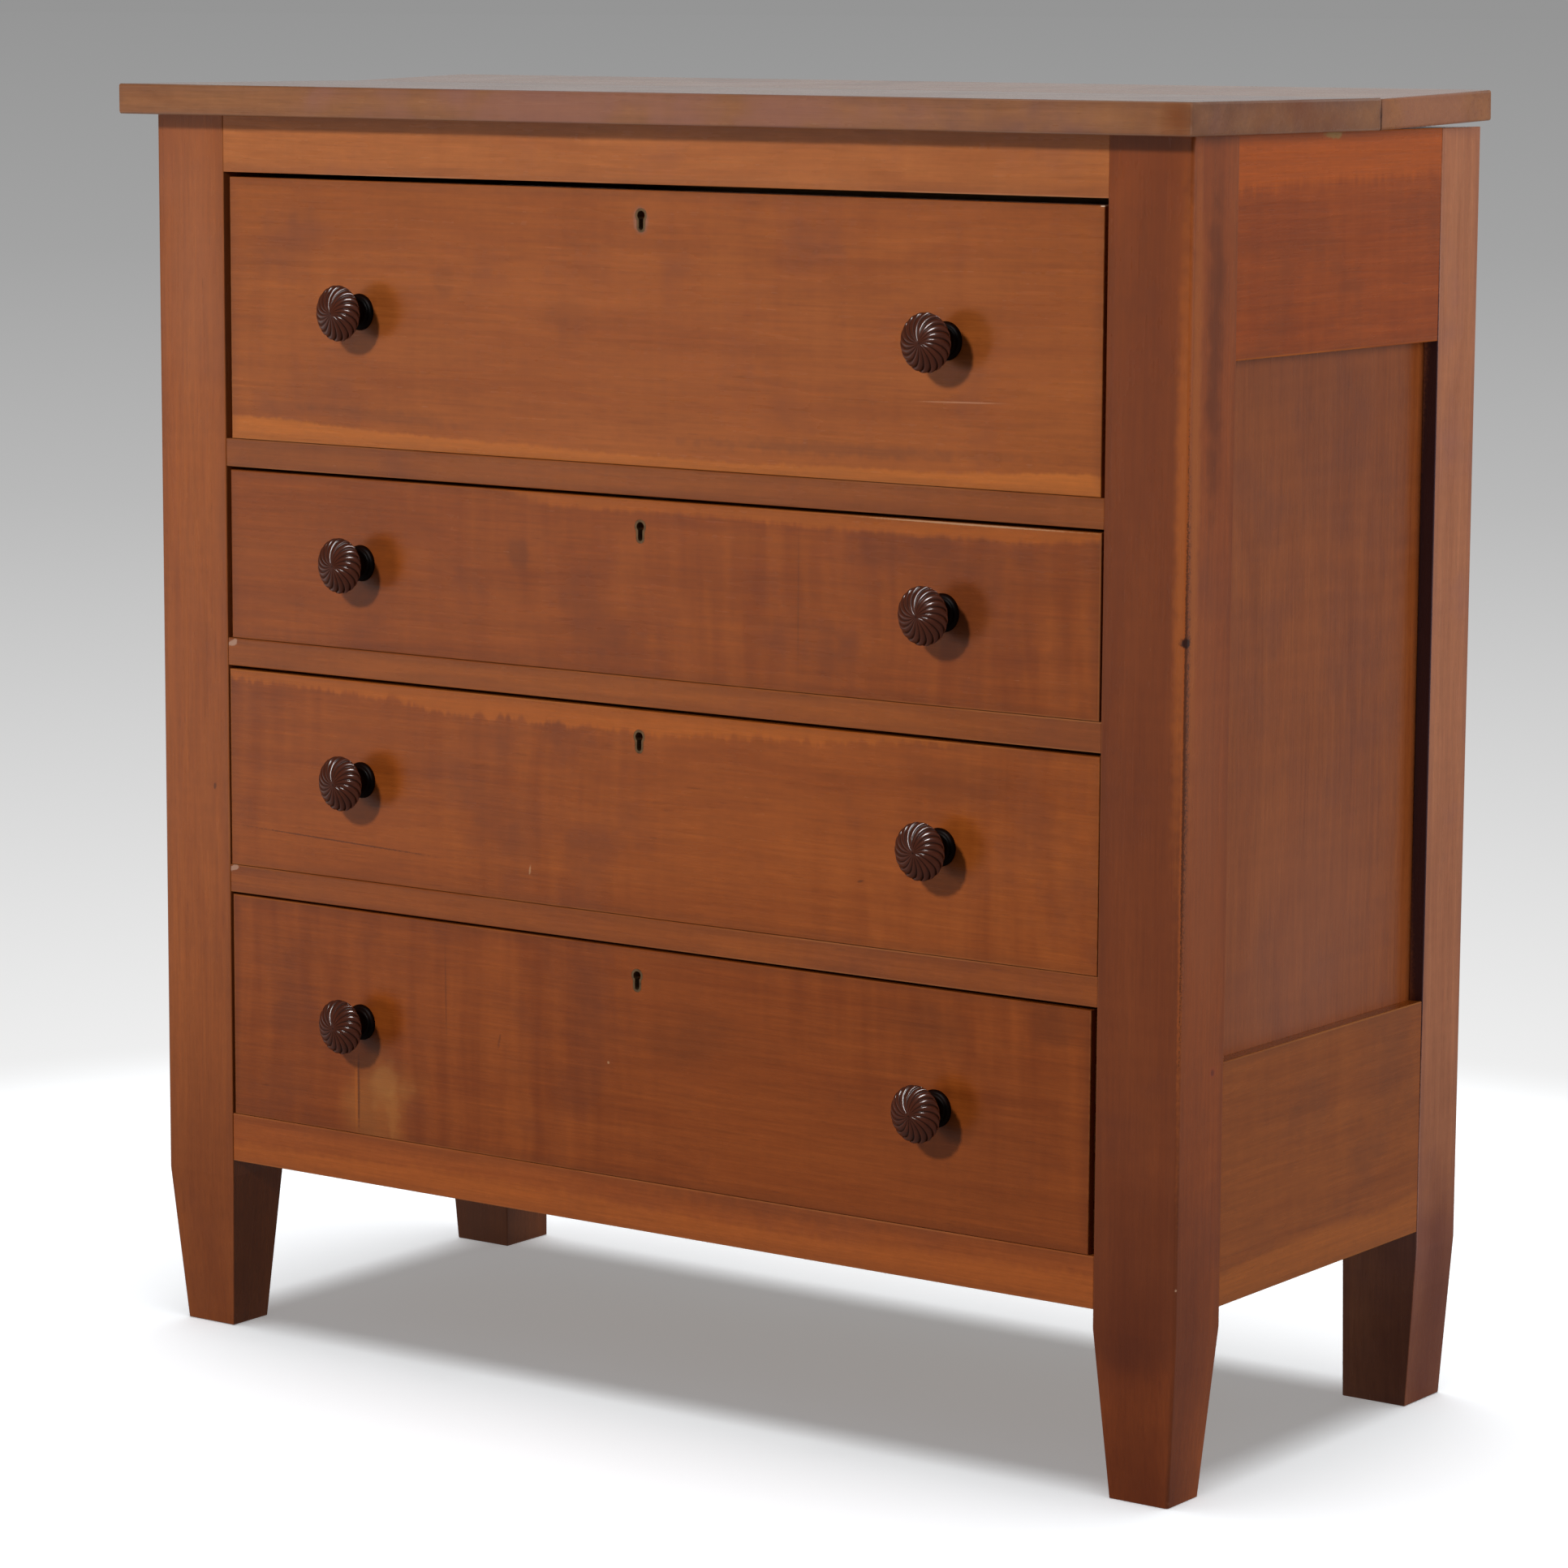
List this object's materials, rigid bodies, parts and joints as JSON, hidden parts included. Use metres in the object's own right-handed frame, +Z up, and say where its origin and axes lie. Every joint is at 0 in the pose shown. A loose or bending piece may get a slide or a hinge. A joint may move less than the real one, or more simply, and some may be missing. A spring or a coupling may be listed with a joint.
{
  "type": "bachelors chest",
  "caption": "Upright wooden chest on tapered square legs, with framed side panels, flush drawers with lined keyholes, turned fluted knobs and a two-board overhanging top.",
  "frame": {"origin": "on the floor, midway between the left and right sides and midway between the tips of the knobs and the back", "axes": "+X to the right as one faces the drawers, +Y to the back, +Z up; the drawers pull out along -Y"},
  "size_m": [1.002, 0.4576, 1.0199],
  "materials": {
    "cherry": "satin varnish over aged red-brown cherry",
    "secondary_wood": "bare aged poplar",
    "knob_wood": "dark polished",
    "brass": "tarnished",
    "bolt_brass": "filed and tarnished",
    "iron": "dark, lightly rusted"
  },
  "bodies": {
    "case": {"left_front_post": "cherry", "right_front_post": "cherry", "left_rear_post": "cherry", "right_rear_post": "cherry", "top_front_board": "cherry", "top_rear_board": "cherry", "top_rail": "cherry", "drawer_rail_1": "cherry", "drawer_rail_2": "cherry", "drawer_rail_3": "cherry", "bottom_rail": "cherry", "left_side_top_rail": "cherry", "right_side_top_rail": "cherry", "left_side_bottom_rail": "cherry", "right_side_bottom_rail": "cherry", "left_side_panel": "cherry", "right_side_panel": "cherry", "rear_top_rail": "secondary_wood", "rear_bottom_rail": "secondary_wood", "back_boards": "secondary_wood", "runners_and_kickers": "secondary_wood", "drawer_guides": "secondary_wood", "drawer_stops": "secondary_wood", "top_screws": "iron"},
    "drawer_1": {"drawer_1_front": "cherry", "drawer_1_left_side": "secondary_wood", "drawer_1_right_side": "secondary_wood", "drawer_1_back": "secondary_wood", "drawer_1_bottom": "secondary_wood", "drawer_1_knobs": "knob_wood", "drawer_1_escutcheon": "brass", "drawer_1_lock": "iron"},
    "drawer_2": {"drawer_2_front": "cherry", "drawer_2_left_side": "secondary_wood", "drawer_2_right_side": "secondary_wood", "drawer_2_back": "secondary_wood", "drawer_2_bottom": "secondary_wood", "drawer_2_knobs": "knob_wood", "drawer_2_escutcheon": "brass", "drawer_2_lock": "iron"},
    "drawer_3": {"drawer_3_front": "cherry", "drawer_3_left_side": "secondary_wood", "drawer_3_right_side": "secondary_wood", "drawer_3_back": "secondary_wood", "drawer_3_bottom": "secondary_wood", "drawer_3_knobs": "knob_wood", "drawer_3_escutcheon": "brass", "drawer_3_lock": "iron"},
    "drawer_4": {"drawer_4_front": "cherry", "drawer_4_left_side": "secondary_wood", "drawer_4_right_side": "secondary_wood", "drawer_4_back": "secondary_wood", "drawer_4_bottom": "secondary_wood", "drawer_4_knobs": "knob_wood", "drawer_4_escutcheon": "brass", "drawer_4_lock": "iron"},
    "lock_bolt_1": {"drawer_1_lock_bolt": "bolt_brass"},
    "lock_bolt_2": {"drawer_2_lock_bolt": "bolt_brass"},
    "lock_bolt_3": {"drawer_3_lock_bolt": "bolt_brass"},
    "lock_bolt_4": {"drawer_4_lock_bolt": "bolt_brass"}
  },
  "joints": [
    {"name": "drawer_1_slide", "type": "slide", "parent": "case", "child": "drawer_1", "axis": [0, -1, 0], "range_m": [0, 0.29]},
    {"name": "drawer_2_slide", "type": "slide", "parent": "case", "child": "drawer_2", "axis": [0, -1, 0], "range_m": [0, 0.29]},
    {"name": "drawer_3_slide", "type": "slide", "parent": "case", "child": "drawer_3", "axis": [0, -1, 0], "range_m": [0, 0.29]},
    {"name": "drawer_4_slide", "type": "slide", "parent": "case", "child": "drawer_4", "axis": [0, -1, 0], "range_m": [0, 0.29]},
    {"name": "lock_bolt_1_slide", "type": "slide", "parent": "drawer_1", "child": "lock_bolt_1", "axis": [0, 0, 1], "range_m": [0, 0.008]},
    {"name": "lock_bolt_2_slide", "type": "slide", "parent": "drawer_2", "child": "lock_bolt_2", "axis": [0, 0, 1], "range_m": [0, 0.008]},
    {"name": "lock_bolt_3_slide", "type": "slide", "parent": "drawer_3", "child": "lock_bolt_3", "axis": [0, 0, 1], "range_m": [0, 0.008]},
    {"name": "lock_bolt_4_slide", "type": "slide", "parent": "drawer_4", "child": "lock_bolt_4", "axis": [0, 0, 1], "range_m": [0, 0.008]}
  ]
}
